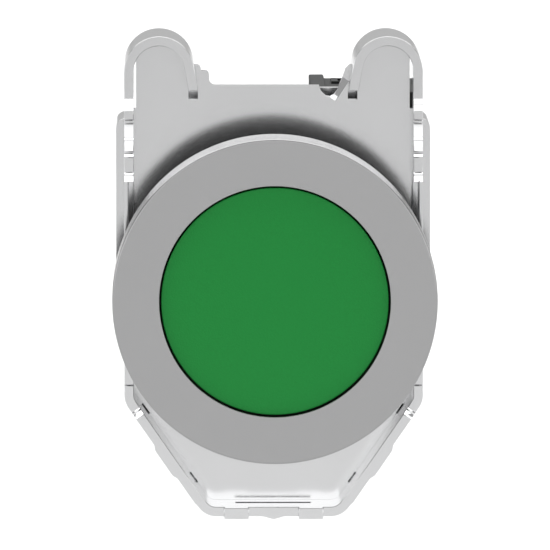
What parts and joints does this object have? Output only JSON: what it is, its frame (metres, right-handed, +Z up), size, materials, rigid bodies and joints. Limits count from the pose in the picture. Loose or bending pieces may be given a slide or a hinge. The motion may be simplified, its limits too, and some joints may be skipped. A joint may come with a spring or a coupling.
{
  "type": "panel push button",
  "caption": "Flush green push button with a round metal bezel, for a panel hole, held by a metal collar with latch ears that carries one contact block.",
  "frame": {"origin": "where the head's axis crosses the front of the panel, at the rear face of the head's gasket", "axes": "+Y along the head's axis, from the button into the panel; +Z up, towards the collar's ears; +X to the right as the button is faced"},
  "size_m": [0.029, 0.052, 0.0435],
  "materials": {
    "bezel_metal": "satin chrome plated zinc, flat front",
    "collar_metal": "zinc-plated pressed steel, satin",
    "barrel_metal": "die-cast zinc alloy",
    "green_plastic": "fine grained green plastic",
    "black_rubber": "nitrile rubber",
    "white_plastic": "natural acetal",
    "black_plastic": "glass-filled polyamide",
    "green_carrier": "polyamide plunger, green for a closing contact",
    "spring_steel": "bright spring wire",
    "zinc_steel": "zinc-plated steel screws and clamps",
    "contact_copper": "copper alloy strip",
    "silver": "silver alloy contact"
  },
  "bodies": {
    "head": {"head_barrel": "barrel_metal", "bezel_ring": "bezel_metal", "wiper_seal": "black_rubber", "panel_gasket": "black_rubber", "guide_sleeve": "white_plastic", "retaining_ring": "spring_steel", "return_spring": "spring_steel"},
    "pusher": {"push_cap": "green_plastic", "pusher_stem": "white_plastic", "actuator_foot": "white_plastic"},
    "collar": {"collar_band": "collar_metal", "collar_plate": "collar_metal", "mounting_frame": "collar_metal", "block_housing": "black_plastic", "block_cover": "black_plastic", "fixed_tips": "silver", "terminal_lower": "contact_copper", "terminal_upper": "contact_copper", "plunger_spring": "spring_steel"},
    "locking_ring": {"locking_ring": "zinc_steel"},
    "pressure_pad": {"pressure_pad": "zinc_steel"},
    "fixing_screw": {"fixing_screw": "zinc_steel"},
    "plunger": {"contact_plunger": "green_carrier", "contact_spring": "spring_steel"},
    "bridge": {"moving_bridge": "contact_copper", "bridge_tips": "silver"},
    "clamp_lower": {"clamp_lower": "zinc_steel"},
    "clamp_upper": {"clamp_upper": "zinc_steel"},
    "terminal_screw_lower": {"terminal_screw_lower": "zinc_steel"},
    "terminal_screw_upper": {"terminal_screw_upper": "zinc_steel"}
  },
  "joints": [
    {"name": "button_press", "type": "slide", "parent": "head", "child": "pusher", "axis": [0, 1, 0], "range_m": [0, 0.0043], "stiffness_N_per_m": 900, "springref_m": -0.004, "deforming": ["return_spring"]},
    {"name": "collar_release", "type": "slide", "parent": "head", "child": "collar", "axis": [0, 1, 0], "range_m": [0, 0.02]},
    {"name": "locking_turn", "type": "hinge", "parent": "collar", "child": "locking_ring", "pos_m": [0, 0.017, 0], "axis": [0, 1, 0], "range_deg": [0, 30]},
    {"name": "pad_travel", "type": "slide", "parent": "collar", "child": "pressure_pad", "axis": [0, -1, 0], "range_m": [0, 0.0033]},
    {"name": "fixing_screw_turn", "type": "hinge", "parent": "pressure_pad", "child": "fixing_screw", "pos_m": [0, 0.015, -0.0141], "axis": [0, 1, 0], "range_deg": [-2645, 0]},
    {"name": "plunger_travel", "type": "slide", "parent": "collar", "child": "plunger", "axis": [0, 1, 0], "range_m": [0, 0.00431], "deforming": ["plunger_spring"]},
    {"name": "bridge_travel", "type": "slide", "parent": "collar", "child": "bridge", "axis": [0, 1, 0], "range_m": [0, 0.00261], "deforming": ["contact_spring"]},
    {"name": "clamp_lower_travel", "type": "slide", "parent": "collar", "child": "clamp_lower", "axis": [0, -1, 0], "range_m": [0, 0.0025]},
    {"name": "clamp_upper_travel", "type": "slide", "parent": "collar", "child": "clamp_upper", "axis": [0, -1, 0], "range_m": [0, 0.0025]},
    {"name": "terminal_screw_lower_turn", "type": "hinge", "parent": "clamp_lower", "child": "terminal_screw_lower", "pos_m": [0.00865, 0.035, -0.006], "axis": [0, 1, 0], "range_deg": [-1810, 0]},
    {"name": "terminal_screw_upper_turn", "type": "hinge", "parent": "clamp_upper", "child": "terminal_screw_upper", "pos_m": [0.00865, 0.035, 0.0131], "axis": [0, 1, 0], "range_deg": [-1810, 0]}
  ],
  "couplings": [
    {"joint": "plunger_travel", "follows": "button_press", "ratio": 1},
    {"joint": "bridge_travel", "follows": "button_press", "ratio": 0.60465},
    {"joint": "fixing_screw_turn", "follows": "pad_travel", "rad_per_m": -13963},
    {"joint": "terminal_screw_lower_turn", "follows": "clamp_lower_travel", "rad_per_m": -12566},
    {"joint": "terminal_screw_upper_turn", "follows": "clamp_upper_travel", "rad_per_m": -12566}
  ]
}
